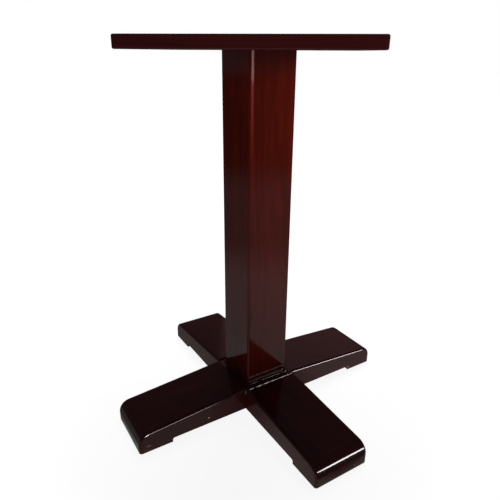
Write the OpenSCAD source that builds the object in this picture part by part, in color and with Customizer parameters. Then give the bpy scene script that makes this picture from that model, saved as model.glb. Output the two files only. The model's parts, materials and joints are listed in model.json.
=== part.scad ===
// Pedestal stand: two tapered rails crossed in a half-lap, a hollow post of four mitred boards,
// and a square top board, drawn together by one tie rod through the middle.
// The upper rail runs along X, the lower rail along Y. The floor is at Z = 0, under the post.

/* [Stand] */
// Height from the floor to the top of the board
stand_h = 762; // [600:1:1100]

/* [Top board] */
// Side of the square top board
board_w = 400; // [300:1:500]
// Thickness of the top board
board_t = 21; // [18:1:32]
// Turn of the board from the upper rail, anticlockwise: at 45 its corners would lie over the rails
board_turn = 52; // [0:1:90]
// Radius of the board's four corners, seen from above
board_corner_r = 6; // [4:0.5:20]
// Round-over along the board's upper and lower edges
board_edge_r = 3; // [1:0.5:3.5]
// Clearance hole near each corner, for the wood screw that holds whatever is set on the board
top_hole_d = 5.5; // [4:0.5:7]
// Distance from the board's sides to the middle of those holes
top_hole_inset = 36; // [25:1:60]

/* [Post] */
// Outside width of the post
post_w = 100; // [95:1:120]
// Thickness of the four mitred boards
post_wall = 20; // [15:1:22]
// Round-over of the post's four long corners
post_r = 4; // [1:0.5:8]
// Length of the square block glued inside each end of the post
block_l = 60; // [50:1:120]

/* [Rails] */
// Length of each of the two crossed rails
rail_l = 610; // [500:1:800]
// Width of a rail
rail_w = 125; // [110:1:160]
// Height of a rail where the two cross
rail_h = 60; // [56:1:90]
// Height of a rail at its ends, measured before the nose is rounded
rail_end_h = 42; // [36:1:50]
// Radius of the nose at each end
nose_r = 24; // [12:1:30]
// Round-over along the upper edges of a rail and round its nose
rail_edge_r = 6; // [2:0.5:9]
// Length of the pad left standing under each end
pad_l = 70; // [45:1:110]
// Depth of the relief between the pads
relief_h = 9; // [4:1:12]
// Corner radius that the saw leaves at each end of the relief
relief_r = 4; // [1:0.5:4]

/* [Tie rod] */
// Diameter of the threaded tie rod
rod_d = 10; // [8:1:12]
// Gap all round the rod in the holes that it passes through
rod_gap = 1; // [0.5:0.25:2]
// Width of the nuts across their flats
nut_af = 17; // [16:1:19]
// Height of the nuts
nut_h = 8; // [6:0.5:10]
// Diameter of the large washers under the nuts
washer_d = 34; // [28:1:36]
// Thickness of the large washers
washer_t = 3; // [2:0.5:4]
// Length of rod left standing past each nut
rod_past = 1; // [0.5:0.5:2]

/* [Screws and dowels] */
// Shank diameter of the countersunk screws
screw_d = 5; // [4:0.5:6]
// Head diameter of the countersunk screws
screw_head_d = 10; // [8:0.5:11]
// How far the screws through the top board bite into the upper block
board_screw_bite = 39; // [20:1:50]
// How far the screws through both rails bite into the lower block
rail_screw_bite = 29; // [20:1:50]
// Distance from the sides of the blocks to the middle of the screws
screw_edge = 9; // [7:0.5:10]
// Diameter of the dowels between the upper rail and the post
dowel_d = 10; // [8:1:12]
// Length of the dowels
dowel_l = 40; // [24:1:44]
// Distance from the sides of the block to the middle of the dowels
dowel_edge = 10; // [8:0.5:11]

/* [Glides] */
// Diameter of the nail-on glides
glide_d = 22; // [16:1:30]
// Height of the glides, which is the gap between the floor and the pads
glide_h = 3; // [2:0.5:6]
// Round-over of a glide's lower edge
glide_r = 1.5; // [0.5:0.5:2]
// Diameter of a glide's nail
nail_d = 2; // [1.5:0.5:3]
// Length of a glide's nail
nail_l = 14; // [8:1:20]
// Distance from the sides of a pad to the middle of its glides
glide_edge = 24; // [16:1:30]

/* [Clearances] */
// Gap all round a fixing in its hole
fit_gap = 0.1; // [0.05:0.05:0.3]
// Gap at the shoulders of the half-lap
lap_gap = 0.1; // [0.05:0.05:0.5]
// Gap all round a washer in its counterbore, and over a rod's end
bore_gap = 1; // [0.5:0.5:2]

/* [Hidden] */
$fn = 96;
// How far a cutter runs past the surface that it cuts
margin = 1;
// How proud of a rail's faces its round-overs would stand: they meet the faces at a faint line, as a router leaves it
crease = 0.02;
// Those along its arms stand a hair prouder, so that they cross those of the level stretch at a clean corner
arm_crease = 1.05 * crease;

rail_top = glide_h + rail_h;
relief_top = glide_h + relief_h;
board_base = stand_h - board_t;
post_l = board_base - rail_top;
block_w = post_w - 2 * post_wall;

// The two laps share the wood over the relief equally
lap_z = (relief_top + rail_top) / 2;

// The rails fall from the edge of the crossing to their ends
slope = atan((rail_h - rail_end_h) / (rail_l / 2 - rail_w / 2));
fall_l = (rail_l / 2 - nose_r + crease + nose_r * sin(slope) - rail_w / 2) / cos(slope);

bore_depth = washer_t + nut_h + rod_past + bore_gap;
low_seat = relief_top + bore_depth;
high_seat = stand_h - bore_depth;
screw_at = block_w / 2 - screw_edge;
dowel_at = block_w / 2 - dowel_edge;
board_screw_l = board_t + board_screw_bite;
rail_screw_l = rail_top - relief_top + rail_screw_bite;
// The point of a screw is longer than the screw is thick
screw_tip = 1.5 * screw_d;
// Chamfer on the corners of the nuts and the ends of the rod
chamfer = 1;

// ---- Round-overs ----

// What a round-over takes off a square corner: the corner is at the origin, the wood below and left of it
module round_over(r) {
    translate([-r, -r]) difference() {
        square(r + margin);
        circle(r);
    }
}

// A round-over along X, from the origin back to -l: the wood lies below it and on its -Y side
module straight_round_over(r, l) {
    translate([-l, 0, 0]) rotate([90, 0, 90]) linear_extrude(l) round_over(r);
}

module four_times() {
    for (turn = [0 : 90 : 270]) rotate(turn) children();
}

module rounded_rectangle(l, w, r) {
    square([l, w - 2 * r], center = true);
    square([l - 2 * r, w], center = true);
    for (x = [-1, 1], y = [-1, 1]) translate([x * (l / 2 - r), y * (w / 2 - r)]) circle(r);
}

// ---- Fixings ----

// A countersunk screw pointing down, its head flush with Z = 0. With a gap it is the hole for that screw.
module screw(l, gap = 0) {
    head = screw_head_d / 2 + gap;
    shank = screw_d / 2 + gap;
    above = gap > 0 ? margin : 0;
    rotate_extrude() polygon([
        [0, above], [head + above, above], [shank, shank - head],
        [shank, screw_tip - l - gap], [0, -l - gap]
    ]);
}

module at_screws() {
    four_times() translate([screw_at, screw_at]) children();
}

// The screws run down through the top board into the upper block
module place_board_screws(gap = 0) {
    translate([0, 0, stand_h]) at_screws() screw(board_screw_l, gap);
}

// The screws run up from the relief through both rails into the lower block
module place_rail_screws(gap = 0) {
    translate([0, 0, relief_top]) mirror([0, 0, 1]) at_screws() screw(rail_screw_l, gap);
}

// The dowels stand half in the upper rail and half in the lower block
module place_dowels(gap = 0) {
    r = dowel_d / 2 + gap;
    translate([0, 0, rail_top]) four_times() translate([dowel_at, 0])
        cylinder(h = dowel_l + 2 * gap, r = r, center = true);
}

module rod_hole() {
    translate([0, 0, -margin]) cylinder(h = stand_h + 2 * margin, r = rod_d / 2 + rod_gap);
}

module nut() {
    corner_r = nut_af / 2 / cos(30);
    color("silver") difference() {
        intersection() {
            cylinder(h = nut_h, r = corner_r, $fn = 6);
            rotate_extrude() polygon([
                [0, 0], [nut_af / 2, 0], [corner_r, chamfer],
                [corner_r, nut_h - chamfer], [nut_af / 2, nut_h], [0, nut_h]
            ]);
        }
        translate([0, 0, -margin]) cylinder(h = nut_h + 2 * margin, d = rod_d + 2 * fit_gap);
    }
}

module washer() {
    color("silver") difference() {
        cylinder(h = washer_t, d = washer_d);
        translate([0, 0, -margin]) cylinder(h = washer_t + 2 * margin, d = rod_d + rod_gap);
    }
}

module top_washer() {
    translate([0, 0, high_seat]) washer();
}

module top_nut() {
    translate([0, 0, high_seat + washer_t]) nut();
}

module bottom_washer() {
    translate([0, 0, low_seat - washer_t]) washer();
}

module bottom_nut() {
    translate([0, 0, low_seat - washer_t - nut_h]) nut();
}

module tie_rod() {
    low_end = low_seat - washer_t - nut_h - rod_past;
    high_end = high_seat + washer_t + nut_h + rod_past;
    r = rod_d / 2;
    color("silver") rotate_extrude() polygon([
        [0, low_end], [r - chamfer, low_end], [r, low_end + chamfer],
        [r, high_end - chamfer], [r - chamfer, high_end], [0, high_end]
    ]);
}

module board_screws() {
    color("silver") place_board_screws();
}

module rail_screws() {
    color("silver") place_rail_screws();
}

module post_dowels() {
    color("burlywood") place_dowels();
}

// ---- Top board ----

// One side and one corner of the board's upper round-over
module board_edge() {
    reach = board_w / 2 - board_corner_r;
    translate([reach, board_w / 2, board_t / 2]) straight_round_over(board_edge_r, 2 * reach);
    translate([reach, reach, 0]) rotate_extrude(angle = 90)
        translate([board_corner_r, board_t / 2]) round_over(board_edge_r);
}

// Hole for a screw that comes up through the board, countersunk in its underside
module top_hole() {
    sink = (screw_head_d - top_hole_d) / 2 + margin;
    translate([0, 0, -margin]) {
        cylinder(h = board_t + 2 * margin, d = top_hole_d);
        cylinder(h = sink, d1 = screw_head_d + 2 * margin, d2 = top_hole_d);
    }
}

module top_board() {
    hole_at = board_w / 2 - top_hole_inset;
    color("#3a0f0d") difference() {
        translate([0, 0, board_base]) rotate(board_turn) difference() {
            linear_extrude(board_t) rounded_rectangle(board_w, board_w, board_corner_r);
            translate([0, 0, board_t / 2]) four_times() {
                board_edge();
                mirror([0, 0, 1]) board_edge();
            }
            four_times() translate([hole_at, hole_at]) top_hole();
        }
        rod_hole();
        translate([0, 0, high_seat]) cylinder(h = bore_depth + margin, d = washer_d + 2 * bore_gap);
        place_board_screws(fit_gap);
    }
}

// ---- Post ----

// The front board: a quarter of the hollow square, cut along both diagonals
module post_board() {
    color("#471610") translate([0, 0, rail_top]) linear_extrude(post_l) intersection() {
        difference() {
            rounded_rectangle(post_w, post_w, post_r);
            square(block_w, center = true);
        }
        polygon([[0, 0], [-post_w, -post_w], [post_w, -post_w]]);
    }
}

module post_block(base) {
    translate([-block_w / 2, -block_w / 2, base]) cube([block_w, block_w, block_l]);
}

module post_top_block() {
    color("burlywood") difference() {
        post_block(board_base - block_l);
        rod_hole();
        place_board_screws(fit_gap);
    }
}

module post_bottom_block() {
    color("burlywood") difference() {
        post_block(rail_top);
        rod_hole();
        place_rail_screws(fit_gap);
        place_dowels(fit_gap);
    }
}

// ---- Rails ----

// What is shaped away over a rail, seen along it: the wood's top is at Y = 0, and the waste reaches up from it
module waste_section(proud) {
    reach = rail_w / 2 - rail_edge_r;
    difference() {
        translate([-rail_w / 2 - margin, -rail_edge_r]) square([rail_w + 2 * margin, rail_h + rail_edge_r]);
        intersection() {
            translate([-rail_w, -2 * rail_edge_r]) square([2 * rail_w, 2 * rail_edge_r]);
            union() {
                translate([-reach, -rail_edge_r]) square([2 * reach, 2 * rail_edge_r]);
                for (side = [-1, 1]) translate([side * reach, -rail_edge_r]) circle(rail_edge_r + proud);
            }
        }
    }
}

// The waste over the crossing, which stays level
module level_waste() {
    w = rail_w + 2 * margin;
    translate([-w / 2, 0, rail_h]) rotate([90, 0, 90]) linear_extrude(w) waste_section(crease);
}

// The waste over the right arm: along its fall, then round its nose
module arm_waste() {
    translate([rail_w / 2, 0, rail_h]) rotate([0, slope, 0]) {
        translate([-margin, 0, 0]) rotate([90, 0, 90]) linear_extrude(fall_l + margin) waste_section(arm_crease);
        translate([fall_l, 0, -nose_r]) rotate([-90, -90, 0]) rotate_extrude(angle = 90 - slope)
            translate([nose_r, 0]) mirror([1, -1]) waste_section(arm_crease);
    }
}

// The relief seen from a long side, with the corners that the saw rounds
module relief() {
    reach = rail_l / 2 - pad_l;
    translate([-reach, -margin]) square([2 * reach, relief_h - relief_r + margin]);
    translate([relief_r - reach, 0]) square([2 * (reach - relief_r), relief_h]);
    for (side = [-1, 1]) translate([side * (reach - relief_r), relief_h - relief_r]) circle(relief_r);
}

// The plank that a rail is made from, its four upright corners rounded and its top rounded over the crossing
module plank() {
    difference() {
        linear_extrude(rail_h + margin) rounded_rectangle(rail_l, rail_w, rail_edge_r);
        level_waste();
    }
}

// One rail along X before it is lapped: a plank with both arms shaped, relieved below
module rail() {
    translate([0, 0, glide_h]) difference() {
        plank();
        arm_waste();
        rotate(180) arm_waste();
        rotate([90, 0, 0]) linear_extrude(rail_w + 2 * margin, center = true) relief();
    }
}

// What one rail takes out of the other, with the shoulders' gap
module lap_space(z, h) {
    w = rail_w + 2 * lap_gap;
    translate([-w / 2, -w / 2, z]) cube([w, w, h]);
}

module rail_holes() {
    rod_hole();
    place_rail_screws(fit_gap);
    four_times() for (side = [-1, 1]) at_glide(side) glide_nail(fit_gap);
}

// Notched from below, so its top runs unbroken through the crossing
module upper_rail() {
    color("#32110f") difference() {
        rail();
        lap_space(-margin, lap_z + margin);
        rail_holes();
        place_dowels(fit_gap);
    }
}

// Notched from above, between the upper rail's sides
module lower_rail() {
    color("#32110f") difference() {
        rotate(90) rail();
        lap_space(lap_z, rail_h);
        rail_holes();
        translate([0, 0, relief_top - margin]) cylinder(h = bore_depth + margin, d = washer_d + 2 * bore_gap);
    }
}

// ---- Glides ----

// Under the right foot, on its near (-1) or far (1) side
module at_glide(side) {
    translate([rail_l / 2 - pad_l / 2, side * (rail_w / 2 - glide_edge), 0]) children();
}

module glide_nail(gap = 0) {
    r = nail_d / 2 + gap;
    translate([0, 0, glide_h - gap]) cylinder(h = nail_l - nail_d + 2 * gap, r = r);
    translate([0, 0, glide_h + nail_l - nail_d + gap]) cylinder(h = nail_d, r1 = r, r2 = 0);
}

module glide(turn, side) {
    color("dimgray") rotate(turn) at_glide(side) {
        rotate_extrude() difference() {
            square([glide_d / 2, glide_h]);
            translate([glide_d / 2, 0]) mirror([0, 1]) round_over(glide_r);
        }
        glide_nail();
    }
}

// ---- The stand, piece by piece ----

top_board();
board_screws();
top_nut();
top_washer();
tie_rod();
post_board();  // post_front
rotate(90) post_board();  // post_right
rotate(180) post_board();  // post_back
rotate(270) post_board();  // post_left
post_top_block();
post_bottom_block();
post_dowels();
upper_rail();
lower_rail();
rail_screws();
bottom_washer();
bottom_nut();
glide(270, -1);  // glide_front_left
glide(270, 1);  // glide_front_right
glide(0, -1);  // glide_right_front
glide(0, 1);  // glide_right_back
glide(90, -1);  // glide_back_right
glide(90, 1);  // glide_back_left
glide(180, -1);  // glide_left_back
glide(180, 1);  // glide_left_front
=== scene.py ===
# %% [markdown]
# # A pedestal stand in gloss mahogany
# Two tapered rails cross under a hollow square post, and a square board lies on top. One long tie rod
# draws them together. The construction comes ready made, at its real size: each wooden piece, washer
# and glide is already a mesh in its place. This lesson gives every surface its finish, and models the
# small things that need a real thread, a recess or a bead: the rod, the nuts, the screws, the dowels
# and the thin beads of lacquer. Everything is in metres, with the floor at Z = 0.

# %% The construction
import json
import math

import bmesh
import bpy
from mathutils import Euler, Matrix, Vector

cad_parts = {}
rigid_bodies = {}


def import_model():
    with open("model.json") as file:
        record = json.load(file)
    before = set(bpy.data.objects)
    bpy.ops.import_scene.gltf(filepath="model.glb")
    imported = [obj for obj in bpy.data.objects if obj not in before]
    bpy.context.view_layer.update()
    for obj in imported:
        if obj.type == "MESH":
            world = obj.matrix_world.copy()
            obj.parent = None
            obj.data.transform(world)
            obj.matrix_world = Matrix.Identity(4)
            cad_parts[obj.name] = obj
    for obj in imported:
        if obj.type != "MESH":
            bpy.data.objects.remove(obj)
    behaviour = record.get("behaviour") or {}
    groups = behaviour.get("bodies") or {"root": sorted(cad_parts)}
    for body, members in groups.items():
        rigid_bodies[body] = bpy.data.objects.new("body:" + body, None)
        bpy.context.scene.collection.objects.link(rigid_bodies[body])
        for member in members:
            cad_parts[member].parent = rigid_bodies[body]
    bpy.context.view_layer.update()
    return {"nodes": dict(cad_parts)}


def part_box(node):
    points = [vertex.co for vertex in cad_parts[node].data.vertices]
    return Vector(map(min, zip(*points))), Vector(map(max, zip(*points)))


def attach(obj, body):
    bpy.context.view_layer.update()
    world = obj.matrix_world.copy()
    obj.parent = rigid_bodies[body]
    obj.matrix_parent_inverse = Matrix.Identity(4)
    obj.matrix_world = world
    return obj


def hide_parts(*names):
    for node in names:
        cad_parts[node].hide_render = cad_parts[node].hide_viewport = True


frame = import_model()
MM = 0.001
print("pieces ready made:", len(frame["nodes"]))

# %% [markdown]
# ## Camera
# The stand is seen a little from its left, and from so high that the eye is just under the board: the
# board then shows only its edge, and the rails show their tops. A lens of 35 mm stood about 1.2 m away
# gives the strong fall towards the floor. The turn, the pitch and the small roll are applied one after
# the other, so that each stays a value that can be read.

# %% Camera
camera_turn = math.radians(31.70)
camera_pitch = math.radians(22.02)
camera_roll = math.radians(0.29)
camera_place = Vector((-0.01874, -0.95107, 0.73895))

turned = Matrix.Rotation(-camera_turn, 3, "Z")
aimed = Euler((math.pi / 2 - camera_pitch, 0, -camera_turn)).to_matrix()
aimed = aimed @ Matrix.Rotation(camera_roll, 3, "Z")
camera = bpy.data.objects.new("camera", bpy.data.cameras.new("camera"))
camera.matrix_world = Matrix.Translation(turned @ camera_place) @ aimed.to_4x4()
camera.data.lens = 35.22
camera.data.sensor_width = 36
camera.data.shift_x = 0.0054
camera.data.shift_y = -0.0019
camera.data.clip_start = 0.01
scene = bpy.context.scene
scene.collection.objects.link(camera)
scene.camera = camera
scene.view_settings.view_transform = "Standard"
print("camera at", [round(v, 3) for v in camera.location])

# %% [markdown]
# ## Helpers for nodes
# A material is a small graph. Adding a node, setting it up and wiring it takes four or five lines each
# time, so one helper does all of it: it takes the kind of node, its sockets by name or number, and its
# settings. A socket that is given another node's output gets a link, any other value is typed in. The
# helpers after it each stand for a kind of node that comes up again and again. A ramp is the most
# useful: it turns one range of values smoothly into another.

# %% Nodes
def add_node(tree, kind, sockets=None, **settings):
    made = tree.nodes.new(kind)
    for name, value in settings.items():
        setattr(made, name, value)
    for name, value in (sockets or {}).items():
        if isinstance(value, bpy.types.NodeSocket):
            tree.links.new(value, made.inputs[name])
        else:
            made.inputs[name].default_value = value
    return made


def calculate(tree, operation, first, second=0.0, third=0.0, clamp=False):
    sockets = {0: first, 1: second, 2: third}
    return add_node(tree, "ShaderNodeMath", sockets, operation=operation, use_clamp=clamp).outputs[0]


def times(tree, first, second):
    return calculate(tree, "MULTIPLY", first, second)


def vector_math(tree, operation, first, second=(0, 0, 0)):
    made = add_node(tree, "ShaderNodeVectorMath", {0: first, 1: second}, operation=operation)
    return made.outputs["Value" if operation == "LENGTH" else "Vector"]


def parts_of(tree, vector):
    return add_node(tree, "ShaderNodeSeparateXYZ", {0: vector}).outputs


def oval_distance(tree, here, middle, size):
    """How far out a place lies: 1 is on an oval of these half sizes."""
    away = vector_math(tree, "SUBTRACT", here, middle)
    return vector_math(tree, "LENGTH", vector_math(tree, "DIVIDE", away, size))


def blend_colors(tree, factor, first, second):
    sockets = {"Factor": factor, 6: first, 7: second}
    return add_node(tree, "ShaderNodeMix", sockets, data_type="RGBA").outputs[2]


def ramp_between(tree, value, low, high, low_result=0.0, high_result=1.0):
    sockets = {"Value": value, 1: low, 2: high, 3: low_result, 4: high_result}
    settings = {"interpolation_type": "SMOOTHSTEP", "clamp": True}
    return add_node(tree, "ShaderNodeMapRange", sockets, **settings).outputs[0]


def new_material(name):
    made = bpy.data.materials.new(name)
    made.use_nodes = True
    made.node_tree.nodes.clear()
    print("material:", name)
    return made


print("node helpers ready")

# %% [markdown]
# ## World
# The background is pure white, but gloss lacquer is a dark mirror: in a white room it would turn milky.
# A studio shows a white sheet behind the stand and is dim all round it. The world does the same: rays
# that come straight from the camera, or through something clear, find white, mirrored rays find the dim
# room, and the rest find an even, plain light.

# %% World
room_seen = (1.0, 1.0, 1.0, 1.0)
room_mirrored = (0.050, 0.048, 0.054, 1.0)
room_light = (0.065, 0.065, 0.065, 1.0)

world = bpy.data.worlds.new("studio")
world.use_nodes = True
scene.world = world
tree = world.node_tree
tree.nodes.clear()
path = add_node(tree, "ShaderNodeLightPath")
seen = calculate(tree, "MAXIMUM", path.outputs["Is Camera Ray"], path.outputs["Is Transmission Ray"])
color = blend_colors(tree, path.outputs["Is Glossy Ray"], room_light, room_mirrored)
color = blend_colors(tree, seen, color, room_seen)
shader = add_node(tree, "ShaderNodeBackground", {"Color": color, "Strength": 1.0})
add_node(tree, "ShaderNodeOutputWorld", {"Surface": shader.outputs[0]})
print("world:", room_seen[0], "seen,", room_mirrored[0], "mirrored")

# %% [markdown]
# ## The sheet that the lacquer mirrors
# A pale sheet lies under the stand. It throws light up at it from below, less on the left and less far out.
# Its mirror image makes the lower half of the post greyer than the upper half. What mirrored rays find is
# painted light and shade on the sheet, in several greys: a painted shadow under the rails, which is why the
# foot of the post is darker than its middle, a painted pool of light round the stand, and painted fall-off
# far out, at the back and on the left. Two dark ovals before the nearest toes are painted shadows too, and
# keep the noses of the rails dark. Each of these is a ramp over the place on the floor.

# %% Mirrored sheet
sheet_bounce = 1.2
bounce_left = 0.53
sheet_mirrored = 0.31
# Painted shade: how dark the mirrored sheet is under the rails
painted_shade_under_rails = 0.10
sheet_grey = 0.42
room_dark = 0.10
sheet_behind = 0.75
sheet_left = 0.70
painted_shadow_edge = (0.955, 1.09)
# Painted shadows before the toes: what each leaves of the sheet's image, where its middle lies, and its half
# sizes
painted_toe_shadows = [
    (0.18, (0.02, -0.49, 0.0), (0.17, 0.175, 1.0)),
    (0.50, (-0.338, 0.04, 0.0), (0.029, 0.14, 1.0)),
]

bpy.ops.object.select_all(action="DESELECT")
bpy.ops.mesh.primitive_plane_add(size=30)
floor = bpy.context.object
floor.name = "floor"
material = new_material("pale_sheet")
material.cycles.emission_sampling = "NONE"
floor.data.materials.append(material)
tree = material.node_tree
place = add_node(tree, "ShaderNodeNewGeometry").outputs
reach = vector_math(tree, "LENGTH", place["Position"])
place_parts = parts_of(tree, place["Position"])
across = place_parts["X"]
depth = place_parts["Y"]

# A painted shadow under the rails, rising to the painted pool of light round the stand
pale = ramp_between(tree, reach, 0.09, 0.21, painted_shade_under_rails, sheet_mirrored)
# Painted fall-off of the sheet's light: what is ramped, between which two values in metres, and from what
# share to what share
further_ramps = [
    (reach, 0.60, 1.05, 1.0, sheet_grey),
    (reach, 1.70, 2.70, 1.0, room_dark),
    (depth, -0.05, 0.25, 1.0, sheet_behind),
    (across, -0.02, 0.06, sheet_left, 1.0),
]
for ramp in further_ramps:
    pale = times(tree, pale, ramp_between(tree, *ramp))
# Painted shadows on the mirrored sheet before the nearest toes
for kept, middle, size in painted_toe_shadows:
    away = oval_distance(tree, place["Position"], middle, size)
    pale = times(tree, pale, ramp_between(tree, away, *painted_shadow_edge, kept, 1.0))
bounce = ramp_between(tree, reach, 1.20, 3.50, sheet_bounce, room_dark)
bounce = times(tree, bounce, ramp_between(tree, across, -0.30, 0.10, bounce_left, 1.0))
print("sheet:", len(further_ramps) + 1, "ramps and", len(painted_toe_shadows), "cards")

# %% [markdown]
# ## The floor as it is seen
# The camera sees the sheet white. A little of the white is held back close to the stand, and a plain
# grey finish is added to it, which the lamps light and the stand shades: that is its soft shadow. Light
# Path tells the rays apart. From below the floor is clear, to show the underside.

# %% Floor
white_near = 0.90
shaded_grey = (0.35, 0.35, 0.35, 1.0)

path = add_node(tree, "ShaderNodeLightPath").outputs
strength = ramp_between(tree, path["Is Glossy Ray"], 0.0, 1.0, bounce, pale)
studio = add_node(tree, "ShaderNodeEmission", {"Strength": strength}).outputs[0]
glow = ramp_between(tree, reach, 0.35, 0.75, white_near, 1.0)
lit = add_node(tree, "ShaderNodeEmission", {"Color": room_seen, "Strength": glow}).outputs[0]
shade = add_node(tree, "ShaderNodeBsdfDiffuse", {"Color": shaded_grey}).outputs[0]
white = add_node(tree, "ShaderNodeAddShader", {0: lit, 1: shade}).outputs[0]
seen = calculate(tree, "MAXIMUM", path["Is Camera Ray"], path["Is Transmission Ray"])
surface = add_node(tree, "ShaderNodeMixShader", {0: seen, 1: studio, 2: white}).outputs[0]
clear = add_node(tree, "ShaderNodeBsdfTransparent").outputs[0]
surface = add_node(tree, "ShaderNodeMixShader", {0: place["Backfacing"], 1: surface, 2: clear}).outputs[0]
add_node(tree, "ShaderNodeOutputMaterial", {"Surface": surface})
print("floor:", floor.dimensions.x, "m wide")

# %% [markdown]
# ## Helpers for lamps
# A lamp is placed by the direction in which it stands, as seen from the point that it is aimed at: how
# far it is turned to the right of the front, and how far it rises. Gloss lacquer shows two things at
# once: its own dark red, lit evenly, and the mirror image of whatever is bright. So there are two kinds
# of lamp. The soft ones give the plain light, and the lacquer does not mirror them. The others are only
# mirrored. In a studio, black flags keep such a lamp off the pieces that it must not reach; here it is
# linked to the pieces that it is for.

# %% Lamp helpers
def add_lamp(name, aim, turn, rise, distance, width, height, brightness, color=(1, 1, 1)):
    turn = math.radians(turn)
    rise = math.radians(rise)
    out = Vector((math.sin(turn) * math.cos(rise), -math.cos(turn) * math.cos(rise), math.sin(rise)))
    lamp = bpy.data.objects.new(name, bpy.data.lights.new(name, "AREA"))
    lamp.data.shape = "RECTANGLE"
    lamp.data.size = width
    lamp.data.size_y = height
    lamp.data.energy = brightness * math.pi * width * height
    lamp.data.color = color
    lamp.location = Vector(aim) + out * distance
    lamp.rotation_euler = (-out).to_track_quat("-Z", "Y").to_euler()
    lamp.visible_camera = False
    lamp.visible_glossy = False
    scene.collection.objects.link(lamp)
    print(name, "at", [round(v, 2) for v in lamp.location], round(lamp.data.energy, 1), "W")
    return lamp


def mirror_only(lamp, *nodes):
    """The lamp gives no plain light, and only these pieces mirror it."""
    lamp.visible_diffuse = False
    lamp.visible_glossy = True
    pieces = bpy.data.collections.new(lamp.name + "_pieces")
    for node in nodes:
        pieces.objects.link(frame["nodes"][node])
    lamp.light_linking.receiver_collection = pieces


print("lamp helpers ready")

# %% [markdown]
# ## Lamps
# A far, low window on the right draws the bright line along the round-overs of the upper rail, and a
# narrower one draws that of the lower rail. Two more stand further to the left and carry the line round
# the left toe: a faint one, and a strong one for the glint at its corner. A small lamp draws the line
# down the near corner of the post, and a dim, reddish sheet at the back greys the right arm. Of the
# three soft lamps, two are narrow and aimed at the neck of the post, so its foot is darker.

# %% Lamps
crossing = (0, 0, 0.05)
waist = (0, 0, 0.40)
neck = (0, 0, 0.66)
narrow_spread = math.radians(40)
post_boards = ("post_front", "post_right", "post_back", "post_left")
# The aim, the turn and rise in degrees, the distance, width, height and brightness, and who mirrors it
mirrored_lamps = {
    "rail_line": ((crossing, 34.8, 12, 8.0, 2.9, 1.6, 26), ("upper_rail",)),
    "nose_line": ((crossing, 31, 12, 8.0, 0.95, 1.3, 26), ("lower_rail",)),
    "toe_line": ((crossing, 8, 13, 8.0, 2.2, 1.6, 9), ("upper_rail",)),
    "toe_glint": ((crossing, -8, 12, 8.0, 2.6, 1.8, 45), ("upper_rail",)),
    "corner_line": ((neck, 14, 0, 3.0, 0.45, 0.255, 1.8), post_boards),
    "arm_grey": ((crossing, 135, 28, 3.0, 2.0, 1.0, 0.15, (1.0, 0.50, 0.50)), ("upper_rail", "lower_rail")),
}
for name, (values, nodes) in mirrored_lamps.items():
    mirror_only(add_lamp(name, *values), *nodes)
add_lamp("soft_front", neck, 22, 10, 1.5, 0.35, 0.35, 2.05).data.spread = narrow_spread
add_lamp("soft_left", neck, -75, 10, 1.5, 0.35, 0.35, 0.74).data.spread = narrow_spread
add_lamp("soft_top", waist, 140, 70, 3.0, 1.8, 1.8, 3.27)

# %% [markdown]
# ## Node groups
# What several materials need, such as grain, gloss or wear, is built once as a group with named inputs
# and outputs, and placed in each material with its own values. Most of it starts from noise. Wood is
# drawn out along its grain, so one helper makes noise that can be drawn out along X.

# %% Group helpers
def new_group(name, inputs, outputs):
    group = bpy.data.node_groups.new(name, "ShaderNodeTree")
    for label, kind in inputs.items():
        group.interface.new_socket(label, in_out="INPUT", socket_type="NodeSocket" + kind)
    for label, kind in outputs.items():
        group.interface.new_socket(label, in_out="OUTPUT", socket_type="NodeSocket" + kind)
    taken = add_node(group, "NodeGroupInput").outputs
    given = add_node(group, "NodeGroupOutput").inputs
    print("group:", name)
    return group, taken, given


def add_group(tree, group, sockets):
    return add_node(tree, "ShaderNodeGroup", sockets, node_tree=group).outputs


def stretched_noise(tree, vector, along, across, detail=2.0, roughness=0.5):
    """Noise drawn out along X: along and across count its lumps in a metre."""
    scaled = vector_math(tree, "MULTIPLY", vector, (along, across, across))
    sockets = {"Vector": scaled, "Scale": 1.0, "Detail": detail, "Roughness": roughness}
    return add_node(tree, "ShaderNodeTexNoise", sockets).outputs["Fac"]


print("group helpers ready")

# %% [markdown]
# ## Growth rings
# Wood is a stack of thin cones round the heart of the tree. If the distance from that heart line is
# turned into rings in space, then a face cut along the grain shows long stripes and flames, and an end
# shows arcs, with no picture and no seam. The group reads a place whose X runs along the grain and
# whose origin lies on the heart line. It puts out the rings, the fine fibres, the pores and the slow
# change of tone along the plank.

# %% Growth rings
late_wood = (0.25, 0.90)
ring_end = (0.93, 1.0)
pore_edge = (0.66, 0.74)

growth_rings, taken, given = new_group(
    "growth_rings",
    {"Vector": "Vector", "Ring Width": "Float", "Wander": "Float"},
    {"Rings": "Float", "Fibres": "Float", "Pores": "Float", "Figure": "Float"},
)
tree = growth_rings
here = taken["Vector"]
reach = vector_math(tree, "LENGTH", vector_math(tree, "MULTIPLY", here, (0, 1, 1)))
bend = stretched_noise(tree, here, along=2.2, across=9.0, detail=3.0)
bend = calculate(tree, "SUBTRACT", bend, 0.5)
reach = calculate(tree, "MULTIPLY_ADD", bend, taken["Wander"], reach)
ring = calculate(tree, "FRACT", calculate(tree, "DIVIDE", reach, taken["Ring Width"]))
late = ramp_between(tree, ring, *late_wood)
early = ramp_between(tree, ring, *ring_end, 1.0, 0.0)
tree.links.new(times(tree, late, early), given["Rings"])
fibres = stretched_noise(tree, here, along=16, across=900, detail=4.0, roughness=0.6)
tree.links.new(fibres, given["Fibres"])
dashes = stretched_noise(tree, here, along=110, across=1500, detail=1.0)
tree.links.new(ramp_between(tree, dashes, *pore_edge), given["Pores"])
figure = stretched_noise(tree, here, along=3.5, across=30, detail=3.0, roughness=0.55)
tree.links.new(figure, given["Figure"])
print("rings end at", ring_end, "of their width")

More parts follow.
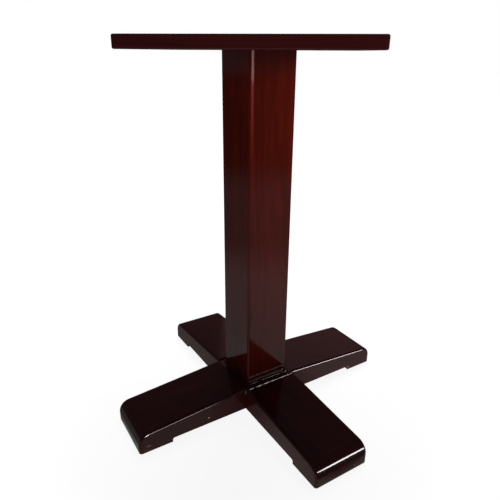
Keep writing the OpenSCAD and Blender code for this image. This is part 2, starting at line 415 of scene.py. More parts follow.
# %% [markdown]
# ## Stained wood
# Stain sinks into the soft early wood and into the pores, and less into the hard late wood. So the tone
# of the wood is a mix of two colours by the rings, the fibres and the figure, with darker pores. End
# grain drinks most and is darkest: it shows where the surface faces along the grain. The same group
# makes bare wood when it is given pale colours. Its height, in millimetres, is what the pores and the
# late wood leave in the surface.

# %% Stained wood
ring_share = 0.30
fibre_share = 0.25
figure_share = 0.55
pore_share = 0.30
pore_depth = 0.010
late_height = 0.003

stained_wood, taken, given = new_group(
    "stained_wood",
    {"Vector": "Vector", "Along": "Float", "Light": "Color", "Dark": "Color",
     "Ring Width": "Float", "Wander": "Float", "End Tone": "Float"},
    {"Color": "Color", "Height": "Float"},
)
tree = stained_wood
wood = add_group(tree, growth_rings, {name: taken[name] for name in ("Vector", "Ring Width", "Wander")})
tone = times(tree, wood["Rings"], ring_share)
tone = calculate(tree, "MULTIPLY_ADD", wood["Fibres"], fibre_share, tone)
slow = ramp_between(tree, wood["Figure"], 0.30, 0.72)
tone = calculate(tree, "MULTIPLY_ADD", slow, figure_share, tone)
pores = times(tree, wood["Pores"], pore_share)
tone = calculate(tree, "SUBTRACT", tone, pores, clamp=True)
color = blend_colors(tree, tone, taken["Dark"], taken["Light"])
cut = ramp_between(tree, calculate(tree, "ABSOLUTE", taken["Along"]), 0.55, 0.95, 1.0, 0.0)
kept = ramp_between(tree, cut, 0.0, 1.0, taken["End Tone"], 1.0)
color = add_node(tree, "ShaderNodeVectorMath", {0: color, "Scale": kept}, operation="SCALE").outputs[0]
tree.links.new(color, given["Color"])
height = times(tree, wood["Pores"], -pore_depth)
height = calculate(tree, "MULTIPLY_ADD", wood["Rings"], late_height, height)
height = calculate(tree, "MULTIPLY_ADD", wood["Fibres"], late_height, height)
tree.links.new(height, given["Height"])
print("pores sunk by", pore_depth, "mm")

# %% [markdown]
# ## Lacquer
# Sprayed lacquer is never a perfect mirror. It has a faint orange peel, it sinks a little into the wood
# below, and here and there a speck of dust stands in it. Hands and cloths leave parts of it duller. The
# group adds these to the wood's own height, and gives the roughness that goes with them.

# %% Lacquer
peel_height = 0.012
swell_height = 0.05
speck_height = 0.02
dulled = 0.03
peel_dulled = 0.015

lacquer_skin, taken, given = new_group(
    "lacquer_skin",
    {"Vector": "Vector", "Wood Height": "Float", "Polish": "Float"},
    {"Height": "Float", "Roughness": "Float"},
)
tree = lacquer_skin
here = taken["Vector"]
peel = stretched_noise(tree, here, along=210, across=210, detail=1.0)
swell = stretched_noise(tree, here, along=28, across=28, detail=1.0)
specks = add_node(tree, "ShaderNodeTexVoronoi", {"Vector": here, "Scale": 75.0})
speck = ramp_between(tree, specks.outputs["Distance"], 0.0, 0.055, speck_height, 0.0)
height = calculate(tree, "MULTIPLY_ADD", peel, peel_height, taken["Wood Height"])
height = calculate(tree, "MULTIPLY_ADD", swell, swell_height, height)
tree.links.new(calculate(tree, "ADD", height, speck), given["Height"])
hands = stretched_noise(tree, here, along=9, across=9, detail=4.0, roughness=0.6)
hands = ramp_between(tree, hands, 0.42, 0.70)
dull = calculate(tree, "MULTIPLY_ADD", hands, dulled, taken["Polish"])
tree.links.new(calculate(tree, "MULTIPLY_ADD", peel, peel_dulled, dull), given["Roughness"])
print("orange peel:", peel_height, "mm")

# %% [markdown]
# ## Chips and scuffs
# A stand is kicked and pushed about, so its feet lose lacquer first: a chip shows the pale wood, and a scuff
# rubs the stain thin and leaves it reddish. A pale spot low on a toe is a painted reflection of the floor.
# Each is a small ragged spot, found by the distance from its own place on the rail. The group gives one spot
# as a mask, with a hard or a soft edge and more or less strength, and a material takes as many as it needs.

# %% Chips and scuffs
raggedness = 0.9

wear_and_paint_spot, taken, given = new_group(
    "wear_and_paint_spot",
    {"Vector": "Vector", "Place": "Vector", "Size": "Vector", "Softness": "Float", "Strength": "Float"},
    {"Mask": "Float"},
)
tree = wear_and_paint_spot
away = oval_distance(tree, taken["Vector"], taken["Place"], taken["Size"])
ragged = stretched_noise(tree, taken["Vector"], along=700, across=700, detail=2.0)
ragged = calculate(tree, "SUBTRACT", ragged, 0.5)
away = calculate(tree, "MULTIPLY_ADD", ragged, raggedness, away)
edge = calculate(tree, "SUBTRACT", 1.0, taken["Softness"])
spot = ramp_between(tree, away, edge, 1.0, 1.0, 0.0)
tree.links.new(times(tree, spot, taken["Strength"]), given["Mask"])
print("spots ragged by", raggedness, "of their size")

# %% [markdown]
# ## The way of the grain
# Every wooden piece is cut from a tree of its own. Its place is turned so that X runs along its grain,
# and shifted so that the heart line lies where that plank was sawn. A board that is glued up from
# staves gets one more shift for each stave, so that every stave shows its own rings and tone.

# %% Grain helpers
stave_spread = (3.0, 0.16, 0.05)


def place_of_grain(tree, grain, heart):
    """A place as it is, turned so that X runs along the grain, and then shifted to the heart line.
    The fourth value tells how much the surface faces along the grain."""
    turns = {"X": (0, 0, 0), "Y": (0, 0, -math.pi / 2), "Z": (0, math.pi / 2, 0)}
    turn = turns[grain] if grain in turns else (0, 0, -grain)
    here = add_node(tree, "ShaderNodeTexCoord")
    sockets = {"Vector": here.outputs["Object"], "Rotation": turn}
    along = add_node(tree, "ShaderNodeMapping", sockets, vector_type="POINT").outputs[0]
    sockets = {"Vector": here.outputs["Normal"], "Rotation": turn}
    facing = add_node(tree, "ShaderNodeMapping", sockets, vector_type="POINT").outputs[0]
    return here.outputs["Object"], along, vector_math(tree, "ADD", along, heart), parts_of(tree, facing)["X"]


def shift_staves(tree, along, shifted, stave_width):
    number = calculate(tree, "DIVIDE", parts_of(tree, along)["Y"], stave_width)
    number = calculate(tree, "FLOOR", number)
    own = add_node(tree, "ShaderNodeTexWhiteNoise", {"W": number}, noise_dimensions="1D")
    spread = vector_math(tree, "MULTIPLY", own.outputs["Color"], stave_spread)
    return vector_math(tree, "ADD", shifted, spread)


print("grain helpers ready")

# %% [markdown]
# ## The rubbed corner
# Hands take hold of the post below the board, and rub its near corner thin and a little hollow there. A
# place is near the corner when it lies far out in both X and Y, so the smaller of its two distances from the
# middle tells how near. The band is redder, and the surface falls away in it by up to a millimetre. The red
# is partly that wear and partly a painted highlight: it is at full strength just under the board, where the
# corner's highlight is thick, and weaker below.

# %% Rubbed corner
# Red of the worn corner, which also carries its painted highlight
red_wear_and_highlight = (0.24, 0.032, 0.030, 1.0)
# In metres from the post's middle, and over the floor
red_starts = (0.0400, 0.0432)
red_ends = (0.0446, 0.0478)
fall_reach = (0.0392, 0.0488)
rubbed_rise = (0.52, 0.68)
# Above this height the red band is at full strength: a painted highlight under the board
painted_highlight_start = (0.688, 0.696)
red_low_down = 0.45


def rub_and_highlight_corner(tree, here, color, height):
    x, y, z = parts_of(tree, here)
    near = times(tree, calculate(tree, "MAXIMUM", x, y), -1.0)
    fade = ramp_between(tree, z, *rubbed_rise)
    band = times(tree, ramp_between(tree, near, *red_starts), fade)
    band = times(tree, band, ramp_between(tree, near, *red_ends, 1.0, 0.0))
    band = times(tree, band, ramp_between(tree, z, *painted_highlight_start, red_low_down, 1.0))
    fall = times(tree, ramp_between(tree, near, *fall_reach), fade)
    return blend_colors(tree, band, color, red_wear_and_highlight), calculate(tree, "SUBTRACT", height, fall)


print("corner rubbed above", rubbed_rise[0], "m")

# %% [markdown]
# ## A material for lacquered wood
# One function makes the material of every lacquered piece: the stained wood, then its wear, then the
# lacquer over both. The pieces share the groups, and differ in their colours, in the width of the rings
# and in the polish. The height goes through a Bump node, which bends the light and not the shape.

# %% Lacquered wood
worn_depth = 0.08


def finish_material(tree, color, rough, height, reach, **fixed):
    """The shader that every material here ends in. A height of 1 stands this reach out, in metres."""
    bump = add_node(tree, "ShaderNodeBump", {"Height": height, "Strength": 1.0, "Distance": reach})
    sockets = {"Base Color": color, "Roughness": rough, "Normal": bump.outputs[0]}
    shader = add_node(tree, "ShaderNodeBsdfPrincipled", {**sockets, **fixed})
    add_node(tree, "ShaderNodeOutputMaterial", {"Surface": shader.outputs[0]})


def lacquered_wood(name, grain, heart, light, dark, ring_width, wander, polish,
                   worn=(), stave_width=None, rubbed=False):
    material = new_material(name)
    tree = material.node_tree
    here, along, shifted, facing = place_of_grain(tree, grain, heart)
    if stave_width:
        shifted = shift_staves(tree, along, shifted, stave_width)
    wood = add_group(tree, stained_wood, {
        "Vector": shifted, "Along": facing, "Light": light, "Dark": dark,
        "Ring Width": ring_width, "Wander": wander, "End Tone": 0.75,
    })
    color = wood["Color"]
    height = wood["Height"]
    # Spots of wear, and the painted reflection low on the left toe
    for place, size, shown, soft, strength in worn:
        spot = add_group(tree, wear_and_paint_spot, {
            "Vector": here, "Place": place, "Size": size, "Softness": soft, "Strength": strength,
        })["Mask"]
        color = blend_colors(tree, spot, color, shown)
        height = calculate(tree, "MULTIPLY_ADD", spot, -worn_depth, height)
    # The near corner of the post: a redder band of wear, with a painted highlight at its top
    if rubbed:
        color, height = rub_and_highlight_corner(tree, here, color, height)
    skin = add_group(tree, lacquer_skin, {"Vector": here, "Wood Height": height, "Polish": polish})
    finish_material(tree, color, skin["Roughness"], skin["Height"], MM, IOR=1.5)
    return material


print("wear is", worn_depth, "mm deep")

# %% [markdown]
# ## The post
# The post is four boards, mitred and glued into a hollow square. Each was sawn from another plank, so
# each has a heart line of its own, but one bath of stain went over them all.

# %% Post boards
post_finish = {
    "light": (0.074, 0.0062, 0.0030, 1.0),
    "dark": (0.040, 0.0032, 0.0016, 1.0),
    "ring_width": 0.0065,
    "wander": 0.03,
    "polish": 0.07,
}
# Each board's heart line, in metres: it lies behind the board's back, a little to one side
post_hearts = {
    "post_front": (0.3, -0.035, 0.012),
    "post_right": (1.7, 0.010, -0.090),
    "post_back": (2.9, 0.060, 0.020),
    "post_left": (4.1, -0.015, 0.040),
}


def dress(node, material):
    """Give a ready-made piece its finish, in every slot that it has."""
    materials = frame["nodes"][node].data.materials
    if len(materials) == 0:
        materials.append(material)
    for slot in range(len(materials)):
        materials[slot] = material


for node in post_boards:
    # Only the front board gets the rubbed corner and its painted highlight
    rubbed = node == "post_front"
    dress(node, lacquered_wood(node + "_lacquer", "Z", post_hearts[node], **post_finish, rubbed=rubbed))
print("post boards dressed:", len(post_boards))

# %% [markdown]
# ## The rails and the board
# The rails are stained nearly black, with the grain along each of them. The board is glued up from staves,
# which stay just visible under the stain. The wear goes where the stand shows it: a chip and some reddish
# scuffs on the near side of the left foot, a small chip at the inner corner of the right foot, and two faint
# scuffs low on the near foot. A pale spot low on the left toe is a painted reflection of the floor, put in
# with the wear.

# %% Rails and board
rail_finish = {
    "light": (0.051, 0.0048, 0.0042, 1.0),
    "dark": (0.026, 0.0025, 0.0021, 1.0),
    "ring_width": 0.0075,
    "wander": 0.03,
    "polish": 0.07,
}
board_finish = {
    "light": (0.043, 0.0040, 0.0040, 1.0),
    "dark": (0.023, 0.0022, 0.0022, 1.0),
    "ring_width": 0.0060,
    "wander": 0.02,
    "polish": 0.09,
}
board_turn = math.radians(-38)
pale_wood = (0.62, 0.50, 0.30, 1.0)
thin_stain = (0.12, 0.010, 0.014, 1.0)
pinkish = (0.30, 0.17, 0.18, 1.0)
# A pale colour low on the left toe: a painted reflection of the floor
painted_floor_reflection = (0.42, 0.38, 0.36, 1.0)
rail_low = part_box("upper_rail")[0]
near_side = rail_low.y
foot = rail_low.x
# Each spot: its place, its half sizes, what shows, how soft its edge is and how strong it is
upper_wear_and_paint = [
    ((foot + 0.152, near_side, 0.026), (0.0021, 0.004, 0.0016), pale_wood, 0.3, 1.0),
    ((foot + 0.019, near_side, 0.0165), (0.0085, 0.004, 0.0024), pinkish, 0.9, 0.8),
    ((foot + 0.013, near_side, 0.0085), (0.0110, 0.004, 0.0040), thin_stain, 0.9, 0.9),
    ((-foot - 0.070, near_side, 0.010), (0.0030, 0.004, 0.0028), pinkish, 0.5, 0.9),
    # A painted reflection of the floor, low on the left toe
    ((foot, 0.018, 0.004), (0.012, 0.062, 0.013), painted_floor_reflection, 0.9, 0.8),
]
lower_wear = [
    ((near_side, -0.26875, 0.0125), (0.004, 0.0070, 0.0014), thin_stain, 0.8, 0.8),
    ((0.031, -0.3035, 0.0115), (0.0025, 0.004, 0.0012), pinkish, 0.7, 0.8),
]
dress("upper_rail", lacquered_wood(
    "upper_rail_lacquer", "X", (0.4, 0.014, 0.050), **rail_finish, worn=upper_wear_and_paint))
dress("lower_rail", lacquered_wood(
    "lower_rail_lacquer", "Y", (1.9, -0.020, 0.062), **rail_finish, worn=lower_wear))
dress("top_board", lacquered_wood(
    "board_lacquer", board_turn, (0.7, 0.0, -0.640), **board_finish, stave_width=0.068))
print("worn spots:", len(upper_wear_and_paint) + len(lower_wear))

# %% [markdown]
# ## Zinc and nylon
# Nuts, washers, screws and the rod are zinc plated, which is a cloudy grey mirror with a slight yellow
# or blue cast. The glides are moulded nylon, dull and a little scuffed where they slide, which is where
# they touch the floor.

# %% Zinc and nylon
blue_zinc = (0.62, 0.63, 0.66, 1.0)
yellow_zinc = (0.70, 0.67, 0.58, 1.0)
dark_nylon = (0.028, 0.026, 0.025, 1.0)
scuffed_nylon = (0.10, 0.09, 0.08, 1.0)
sole_height = 0.4 * MM


def zinc_plate():
    material = new_material("zinc_plate")
    tree = material.node_tree
    here = add_node(tree, "ShaderNodeTexCoord").outputs["Object"]
    cloud = stretched_noise(tree, here, along=160, across=160, detail=3.0)
    grit = stretched_noise(tree, here, along=2500, across=2500, detail=2.0)
    color = blend_colors(tree, ramp_between(tree, cloud, 0.38, 0.62), blue_zinc, yellow_zinc)
    rough = calculate(tree, "MULTIPLY_ADD", cloud, 0.18, 0.20)
    finish_material(tree, color, rough, grit, 0.004 * MM, Metallic=1.0)
    return material


def moulded_nylon():
    material = new_material("moulded_nylon")
    tree = material.node_tree
    here = add_node(tree, "ShaderNodeTexCoord").outputs["Object"]
    sole = ramp_between(tree, parts_of(tree, here)["Z"], 0.0, sole_height, 1.0, 0.0)
    scuff = stretched_noise(tree, here, along=300, across=1400, detail=3.0)
    scuff = times(tree, ramp_between(tree, scuff, 0.45, 0.60), sole)
    color = blend_colors(tree, scuff, dark_nylon, scuffed_nylon)
    grain = stretched_noise(tree, here, along=1800, across=1800, detail=1.0)
    rough = calculate(tree, "MULTIPLY_ADD", scuff, 0.25, 0.42)
    finish_material(tree, color, rough, grain, 0.02 * MM)
    return material


zinc = zinc_plate()
nylon = moulded_nylon()
for node in ("top_washer", "bottom_washer"):
    dress(node, zinc)
for node in frame["nodes"]:
    if node.startswith("glide_"):
        dress(node, nylon)

# %% [markdown]
# ## Bare wood
# The blocks and dowels inside the post are never stained: pale beech, matt, with the same rings as any
# other wood, only finer. The groups are the same ones, with pale colours and no lacquer over them.

# %% Bare wood
beech_light = (0.60, 0.40, 0.22, 1.0)
beech_dark = (0.38, 0.21, 0.10, 1.0)


def bare_wood(name, heart):
    material = new_material(name)
    tree = material.node_tree
    shifted, facing = place_of_grain(tree, "Z", heart)[2:]
    wood = add_group(tree, stained_wood, {
        "Vector": shifted, "Along": facing, "Light": beech_light, "Dark": beech_dark,
        "Ring Width": 0.004, "Wander": 0.02, "End Tone": 0.70,
    })
    dull = ramp_between(tree, stretched_noise(tree, shifted, along=30, across=600), 0.3, 0.7, 0.55, 0.75)
    finish_material(tree, wood["Color"], dull, wood["Height"], 2 * MM)
    return material


dress("post_top_block", bare_wood("upper_block_beech", (0.5, 0.030, 0.055)))
dress("post_bottom_block", bare_wood("lower_block_beech", (2.5, -0.045, 0.040)))
dowel_wood = bare_wood("dowel_beech", (1.5, 0.200, 0.100))

# %% [markdown]
# ## Starting a piece
# The next pieces are modelled as by hand: a primitive is added, and then shaped in edit mode. An
# operator works on whatever is selected, so a piece starts by deselecting everything. Its place goes
# into its mesh. A few short helpers stand for what every piece needs: going in and out of edit mode,
# and closing its seams.

# %% Starting helpers
merge_reach = 0.001 * MM


def start_editing():
    bpy.ops.object.mode_set(mode="EDIT")


def stop_editing():
    bpy.ops.object.mode_set(mode="OBJECT")


def select_everything():
    bpy.ops.mesh.select_all(action="SELECT")


def close_seams():
    """Merge what lies in one place, and turn all faces outwards."""
    select_everything()
    bpy.ops.mesh.remove_doubles(threshold=merge_reach)
    bpy.ops.mesh.normals_make_consistent(inside=False)


def start_piece(name, add_primitive, **values):
    bpy.ops.object.select_all(action="DESELECT")
    add_primitive(**values)
    piece = bpy.context.object
    piece.name = name
    piece.data.name = name
    bpy.ops.object.transform_apply(location=True, rotation=True, scale=True)
    return piece


print("doubles merge within", merge_reach / MM, "mm")

# %% [markdown]
# ## Picking and pushing
# With no window there is no mouse, so vertices, edges and faces are picked in code, by a test on where
# they lie. An end face is found by its level, pushed out and scaled towards the axis: most pieces here
# get their length and their chamfers in that way.

# %% Shaping helpers
def pick(kind, test):
    """In edit mode: select only the verts, edges or faces whose middle passes a test."""
    modes = {"verts": "VERT", "edges": "EDGE", "faces": "FACE"}
    bpy.ops.mesh.select_mode(type=modes[kind])
    bpy.ops.mesh.select_all(action="DESELECT")
    mesh = bmesh.from_edit_mesh(bpy.context.object.data)
    for part in getattr(mesh, kind):
        if kind == "verts":
            middle = part.co
        elif kind == "edges":
            middle = (part.verts[0].co + part.verts[1].co) / 2
        else:
            middle = part.calc_center_median()
        if test(middle):
            part.select_set(True)
    mesh.select_flush_mode()
    bmesh.update_edit_mesh(bpy.context.object.data)


def pick_end(level):
    """The faces at one level, such as the end of a bar."""
    pick("faces", lambda at: abs(at.z - level) < 0.01 * MM)


def scale_to_axis(scale):
    bpy.ops.transform.resize(value=(scale, scale, 1), center_override=(0, 0, 0))


def push_face(step, scale=1.0):
    """Extrude the picked faces by a step along Z, then scale them towards the axis."""
    bpy.ops.mesh.extrude_region_move(TRANSFORM_OT_translate={"value": (0, 0, step)})
    scale_to_axis(scale)


print("shaping helpers ready")

# %% [markdown]
# ## Joining, copying and finishing a piece
# A Boolean cuts or joins two pieces. What repeats is modelled once and copied, each copy with a mesh of
# its own. A finished piece has its doubles merged, its normals outwards and its faces smooth up to a
# crease. It then rides with the stand, and stands for the piece of the construction that it replaces.

# %% Finishing helpers
crease = math.radians(32)


def select_only(piece):
    bpy.ops.object.select_all(action="DESELECT")
    bpy.context.view_layer.objects.active = piece
    piece.select_set(True)


def combine(piece, other, operation):
    """Cut or add another piece, and throw that one away."""
    select_only(piece)
    joint = piece.modifiers.new("combine", "BOOLEAN")
    joint.operation = operation
    joint.solver = "EXACT"
    joint.object = other
    bpy.ops.object.modifier_apply(modifier=joint.name)
    bpy.data.objects.remove(other)


def copy_piece(piece, name, move, turn, flip=False):
    """A copy with its own mesh: turned about Z, perhaps upside down, then moved."""
    copy = piece.copy()
    copy.data = piece.data.copy()
    copy.name = name
    copy.data.name = name
    scene.collection.objects.link(copy)
    place = Matrix.Translation(move) @ Matrix.Rotation(turn, 4, "Z")
    if flip:
        place = place @ Matrix.Rotation(math.pi, 4, "X")
    copy.data.transform(place)
    return copy


def finish_piece(piece, slot, material, *nodes):
    select_only(piece)
    start_editing()
    close_seams()
    stop_editing()
    bpy.ops.object.shade_smooth_by_angle(angle=crease)
    piece.data.materials.clear()
    piece.data.materials.append(material)
    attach(piece, "root")
    if nodes:
        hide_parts(*nodes)
    print(piece.name, "triangles:", sum(len(face.vertices) - 2 for face in piece.data.polygons))


print("finishing helpers ready")

# %% [markdown]
# ## Threads
# A thread is one tooth drawn along a helix. The tooth's outline over one pitch is a short upright line:
# a flat plane is reduced to one of its edges, the edge is subdivided, and the middle points are pulled
# outwards. The Screw modifier turns it round the axis as often as the bar is long, and each turn meets
# the next. Two cuts across the bar then close its ends.

# %% Threaded bar
turn_steps = 16
# Shares of the pitch: the crest's half width, how far the flank's point lies out, and how near counts
crest_half = 0.13
flank_out = 0.25
near_enough = 0.05


def cut_across(height, up):
    select_everything()
    bpy.ops.mesh.bisect(
        plane_co=(0, 0, height), plane_no=(0, 0, 1), use_fill=True, clear_outer=up, clear_inner=not up)


def threaded_bar(name, core, crest, pitch, low, high):
    """A bar along Z from low to high. Its thread starts a pitch lower, and is cut off."""
    start = low - pitch
    middle = start + pitch / 2
    bar = start_piece(name, bpy.ops.mesh.primitive_plane_add, size=pitch,
                      location=(core - pitch / 2, 0, middle), rotation=(math.pi / 2, 0, 0))
    start_editing()
    pick("verts", lambda at: at.x < core - pitch / 2)
    bpy.ops.mesh.delete(type="VERT")
    select_everything()
    bpy.ops.mesh.subdivide(number_cuts=7)
    pick("verts", lambda at: abs(at.z - middle) < pitch * crest_half)
    bpy.ops.transform.translate(value=(crest - core, 0, 0))
    for side in (-1, 1):
        pick("verts", lambda at: abs(at.z - middle - side * pitch * flank_out) < pitch * near_enough)
        bpy.ops.transform.translate(value=((crest - core) / 2, 0, 0))
    stop_editing()
    screw = bar.modifiers.new("helix", "SCREW")
    screw.axis = "Z"
    screw.screw_offset = pitch
    screw.iterations = math.ceil((high - low) / pitch) + 2
    screw.steps = turn_steps
    screw.render_steps = turn_steps
    screw.use_merge_vertices = True
    screw.merge_threshold = merge_reach
    bpy.ops.object.modifier_apply(modifier=screw.name)
    start_editing()
    close_seams()
    cut_across(low, False)
    cut_across(high, True)
    stop_editing()
    return bar


print("steps in a turn of thread:", turn_steps)

# %% [markdown]
# ## Tie rod
# The rod is an ordinary M10 threaded rod, 1.5 mm from one turn of its thread to the next, cut to
# length and chamfered at both ends so that the nuts start easily. The chamfer is the end face pushed
# out and scaled down. The bar is made that much shorter first.

# %% Tie rod
rod_pitch = 1.5 * MM
thread_depth = 0.61 * rod_pitch
end_chamfer = 1.0 * MM
end_scale = 0.80

rod_low, rod_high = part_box("tie_rod")
rod_r = (rod_high.x - rod_low.x) / 2
bar_low = rod_low.z + end_chamfer
bar_high = rod_high.z - end_chamfer
rod = threaded_bar("tie_rod_m10", rod_r - thread_depth, rod_r, rod_pitch, bar_low, bar_high)
start_editing()
for end, step in ((bar_high, end_chamfer), (bar_low, -end_chamfer)):
    pick_end(end)
    push_face(step, end_scale)
stop_editing()
finish_piece(rod, "zinc_steel", zinc, "tie_rod")

# %% [markdown]
# ## Nuts
# A nut starts as a six-sided prism. A turned body with sloping shoulders, kept by an intersection, gives
# each corner the curved chamfer of a real nut. The hole is cut by a threaded bar a tenth of a millimetre
# larger than the rod, so the nut has a thread of its own.

# %% Nuts
nut_shoulder = 0.8 * MM
nut_face = 0.97
thread_gap = 0.1 * MM


def hex_nut(name, node):
    low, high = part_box(node)
    across = high.y - low.y
    corner_r = across / 2 / math.cos(math.pi / 6)
    middle = (0, 0, (low.z + high.z) / 2)
    nut = start_piece(name, bpy.ops.mesh.primitive_cylinder_add, vertices=6, radius=corner_r,
                      depth=high.z - low.z, location=middle, rotation=(0, 0, math.pi / 6))
    body = start_piece("turned_body", bpy.ops.mesh.primitive_cylinder_add, vertices=72, radius=corner_r,
                       depth=high.z - low.z - 2 * nut_shoulder, location=middle)
    start_editing()
    for end, step in ((high.z - nut_shoulder, nut_shoulder), (low.z + nut_shoulder, -nut_shoulder)):
        pick_end(end)
        push_face(step, across / 2 * nut_face / corner_r)
    stop_editing()
    combine(nut, body, "INTERSECT")
    cutter = threaded_bar("nut_thread", rod_r - thread_depth + thread_gap, rod_r + thread_gap, rod_pitch,
                          low.z - MM, high.z + MM)
    combine(nut, cutter, "DIFFERENCE")
    finish_piece(nut, "zinc_steel", zinc, node)


hex_nut("top_hex_nut", "top_nut")
hex_nut("bottom_hex_nut", "bottom_nut")

# %% [markdown]
# ## A wood screw
# A countersunk wood screw is turned from its head down: the flat head, its cone, a plain shank, and then
# a coarse thread that ends in a point. The shank and cone are pushed out from a cylinder step by step,
# the thread is a threaded bar joined to them, and a cross-shaped cutter sinks the recess for the driver.

# %% Wood screw
screw_r = 2.5 * MM
screw_core = 1.7 * MM
screw_pitch = 2.4 * MM
screw_tip = 7.5 * MM
head_r = 5.0 * MM
head_rim = 0.3 * MM
shank_share = 0.4
recess_depth = 2.6 * MM
recess_size = (5.0 * MM, 1.0 * MM, 2 * recess_depth)
recess_taper = 0.30


def cross_cutter():
    """Two tapered blades, as a driver's tip."""
    blades = []
    for turn in (0, math.pi / 2):
        blade = start_piece("blade", bpy.ops.mesh.primitive_cube_add, size=1,
                            scale=recess_size, rotation=(0, 0, turn))
        start_editing()
        pick("verts", lambda at: at.z < 0)
        scale_to_axis(recess_taper)
        stop_editing()
        blades.append(blade)
    combine(blades[0], blades[1], "UNION")
    return blades[0]


def wood_screw(length):
    """Points down, the top of its head at the origin."""
    screw = start_piece("model_screw", bpy.ops.mesh.primitive_cylinder_add, vertices=32,
                        radius=head_r, depth=head_rim, location=(0, 0, -head_rim / 2))
    cone = head_r - screw_r
    shank = length * shank_share
    start_editing()
    pick_end(-head_rim)
    push_face(-cone, screw_r / head_r)
    push_face(-(shank - cone - head_rim))
    # The end of the shank tapers into the thread
    push_face(-MM, 0.9 * screw_core / screw_r)
    stop_editing()
    thread = threaded_bar("thread", screw_core, screw_r, screw_pitch, screw_tip - length, -shank)
    start_editing()
    pick_end(screw_tip - length)
    # The point, in two steps
    push_face(-screw_tip * 0.6, 0.5)
    push_face(-screw_tip * 0.4, 0.15)
    stop_editing()
    combine(screw, thread, "UNION")
    combine(screw, cross_cutter(), "DIFFERENCE")
    return screw


print("screw:", 2 * screw_r / MM, "mm thick")

# %% [markdown]
# ## Two sets of screws
# Four screws hold the board from above, and four the rails from below. One screw of each length is
# modelled, pointing down from the origin, and its copies go to the corners of the box that the node's
# screws fill. No hand stops a driver at the same angle twice, so each copy is turned by another amount.

# %% Wood screws
corners = ((1, 1), (-1, 1), (-1, -1), (1, -1))
screw_turn = 0.7


def four_screws(node, name, points_up):
    low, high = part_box(node)
    model = wood_screw(high.z - low.z)
    x = high.x - head_r
    y = high.y - head_r
    level = low.z if points_up else high.z
    for number, (side_x, side_y) in enumerate(corners, 1):
        place = (side_x * x, side_y * y, level)
        screw = copy_piece(model, f"{name}_{number}", place, screw_turn * number, points_up)
        finish_piece(screw, "zinc_steel", zinc, node)
    bpy.data.objects.remove(model)


four_screws("board_screws", "board_screw", False)
four_screws("rail_screws", "rail_screw", True)

# %% [markdown]
# ## Dowels
# A dowel is a beech pin with flutes, so that glue and air can get out of its hole, and with chamfered
# ends. Every fourth edge of a cylinder is drawn in to make a flute, and each end is pushed out and
# scaled down. The four stand in a cross between the rail and the lower block.

# %% Dowels
flutes = 10
flute_scale = 0.93
dowel_r = 5.0 * MM
dowel_chamfer = 1.5 * MM
dowel_end_scale = 0.82
dowel_turn = 0.3


def fluted_dowel(length):
    dowel = start_piece("model_dowel", bpy.ops.mesh.primitive_cylinder_add, vertices=4 * flutes,
                        radius=dowel_r, depth=length - 2 * dowel_chamfer)
    start_editing()
    step = 2 * math.pi / flutes
    pick("verts", lambda at: (math.atan2(at.y, at.x) + step / 8) % step < step / 4)
    scale_to_axis(flute_scale)
    for side in (-1, 1):
        pick_end(side * (length / 2 - dowel_chamfer))
        push_face(side * dowel_chamfer, dowel_end_scale)
    stop_editing()
    return dowel


dowel_low, dowel_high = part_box("post_dowels")
dowel_reach = dowel_high.x - dowel_r
dowel_middle = (dowel_low.z + dowel_high.z) / 2
model = fluted_dowel(dowel_high.z - dowel_low.z)
for number in range(4):
    angle = number * math.pi / 2
    place = (dowel_reach * math.cos(angle), dowel_reach * math.sin(angle), dowel_middle)
    dowel = copy_piece(model, f"post_dowel_{number + 1}", place, dowel_turn * number)
    finish_piece(dowel, "bare_wood", dowel_wood, "post_dowels")
bpy.data.objects.remove(model)

# %% [markdown]
# ## Beads of lacquer
# Where the post stands on the rail, and where it meets the board, lacquer gathers in the corner and
# dries as a thin bead, a little uneven, which catches the light as a broken line. A square with rounded
# corners is added at the post's size, its face is thrown away and its sides are cut into short lengths.
# Its rim is pushed out and up step by step into a small section that closes on itself, and then every
# vertex is moved by a little. The lower bead joins the pieces that mirror the rail's lamp.

# %% Beads round the post
post_low, post_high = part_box("post_front")
post_half = -post_low.y
post_r = 4 * MM
side_cuts = 35
# The bead's section, in shares of its size: how far out of the post, and how high
bead_section = [(1.00, 0.0), (0.97, 0.09), (0.86, 0.16), (0.66, 0.21), (0.34, 0.23), (0.0, 0.24)]


def post_bead(name, level, up, size, uneven):
    """A ring round the post: up is 1 where it lies on the rail and -1 where it hangs under the board."""
    ring = start_piece(name, bpy.ops.mesh.primitive_plane_add, size=2 * post_half, location=(0, 0, level))
    start_editing()
    select_everything()
    bpy.ops.mesh.bevel(offset=post_r, offset_type="OFFSET", segments=8, affect="VERTICES")
    select_everything()
    bpy.ops.mesh.delete(type="ONLY_FACE")
    pick("edges", lambda at: min(abs(at.x), abs(at.y)) < 0.01 * MM)
    bpy.ops.mesh.subdivide(number_cuts=side_cuts)
    select_everything()
    reach = post_half
    height = 0.0
    for out, rise in bead_section:
        step = up * (size * rise - height)
        wanted = post_half + size * out
        bpy.ops.mesh.extrude_edges_move(TRANSFORM_OT_translate={"value": (0, 0, step)})
        scale_to_axis(wanted / reach)
        reach = wanted
        height = size * rise
    bpy.ops.mesh.extrude_edges_move(TRANSFORM_OT_translate={"value": (0, 0, -up * height)})
    select_everything()
    bpy.ops.mesh.remove_doubles(threshold=merge_reach)
    pick("verts", lambda at: abs(at.z - level) > 0.01 * MM)
    bpy.ops.transform.vertex_random(offset=uneven, uniform=1.0, seed=3)
    stop_editing()
    return ring


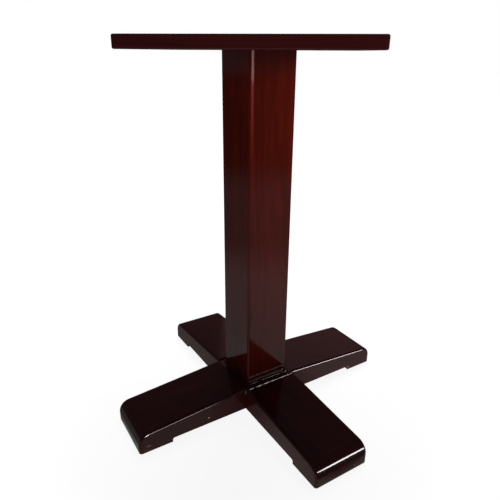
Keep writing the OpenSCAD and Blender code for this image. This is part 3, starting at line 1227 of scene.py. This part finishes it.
bead_finish = {**rail_finish, "polish": 0.06}
bead_lacquer = lacquered_wood("bead_lacquer", "X", (0.0, 0.3, 0.2), **bead_finish)
rail_line_pieces = bpy.data.collections["rail_line_pieces"].objects
foot_bead = post_bead("foot_bead", post_low.z, 1, size=4.2 * MM, uneven=0.16 * MM)
finish_piece(foot_bead, "rail_lacquer", bead_lacquer)
rail_line_pieces.link(foot_bead)
neck_bead = post_bead("neck_bead", post_high.z, -1, size=1.8 * MM, uneven=0.04 * MM)
finish_piece(neck_bead, "post_lacquer", bead_lacquer)

# %% [markdown]
# ## Beads in the lap
# The two rails are let into each other, and lacquer fills the seam on both sides of the upper rail as a
# long, flat bead, with a short run of dried glue down each inner corner. A bead is a thin cylinder: its
# long edges are subdivided into rings, and each ring is scaled by an amount of its own, the first and
# last to a small end.

# %% Beads in the lap
bead_rings = 30
end_swell = 0.3
glue_light = (0.26, 0.21, 0.19, 1.0)
glue_dark = (0.14, 0.11, 0.10, 1.0)
glue_finish = {**rail_finish, "light": glue_light, "dark": glue_dark, "polish": 0.25}


def lacquer_bead(name, axis, middle, material, length, radius, wide=1.0):
    along = "XYZ".index(axis)
    turn = (0, math.pi / 2, 0) if axis == "X" else (0, 0, 0)
    bead = start_piece(name, bpy.ops.mesh.primitive_cylinder_add, vertices=16, radius=radius,
                       depth=length, location=middle, rotation=turn)
    start_editing()
    pick("edges", lambda at: abs(at[along] - middle[along]) < length * 0.01)
    bpy.ops.mesh.subdivide(number_cuts=bead_rings - 1)
    for ring in range(bead_rings + 1):
        centre = Vector(middle)
        centre[along] += length * (ring / bead_rings - 0.5)
        # Two waves that never fall together make it uneven
        swell = 0.92 + 0.05 * math.sin(1.3 * ring) + 0.03 * math.sin(3.1 * ring)
        if ring in (0, bead_rings):
            swell = end_swell
        pick("verts", lambda at: abs(at[along] - centre[along]) < length * 0.01)
        bpy.ops.transform.resize(value=(swell, swell * wide, swell), center_override=centre)
    stop_editing()
    finish_piece(bead, "rail_lacquer", material)
    rail_line_pieces.link(bead)


lap_half = -near_side
run_half = lap_half + 0.3 * MM
lap_top = post_low.z
dried_glue = lacquered_wood("dried_glue", "Z", (0.0, 0.3, 0.2), **glue_finish)
for side, place in ((-1, "near"), (1, "far")):
    seam = (0, side * (lap_half + 1.5 * MM), lap_top - 0.5 * MM)
    lacquer_bead(f"lap_bead_{place}", "X", seam, bead_lacquer, length=122 * MM, radius=2.2 * MM, wide=2.05)
    for end, hand in ((-1, "left"), (1, "right")):
        corner = (end * run_half, side * run_half, lap_top - 8 * MM)
        lacquer_bead(f"glue_run_{place}_{hand}", "Z", corner, dried_glue, length=9 * MM, radius=1.3 * MM)
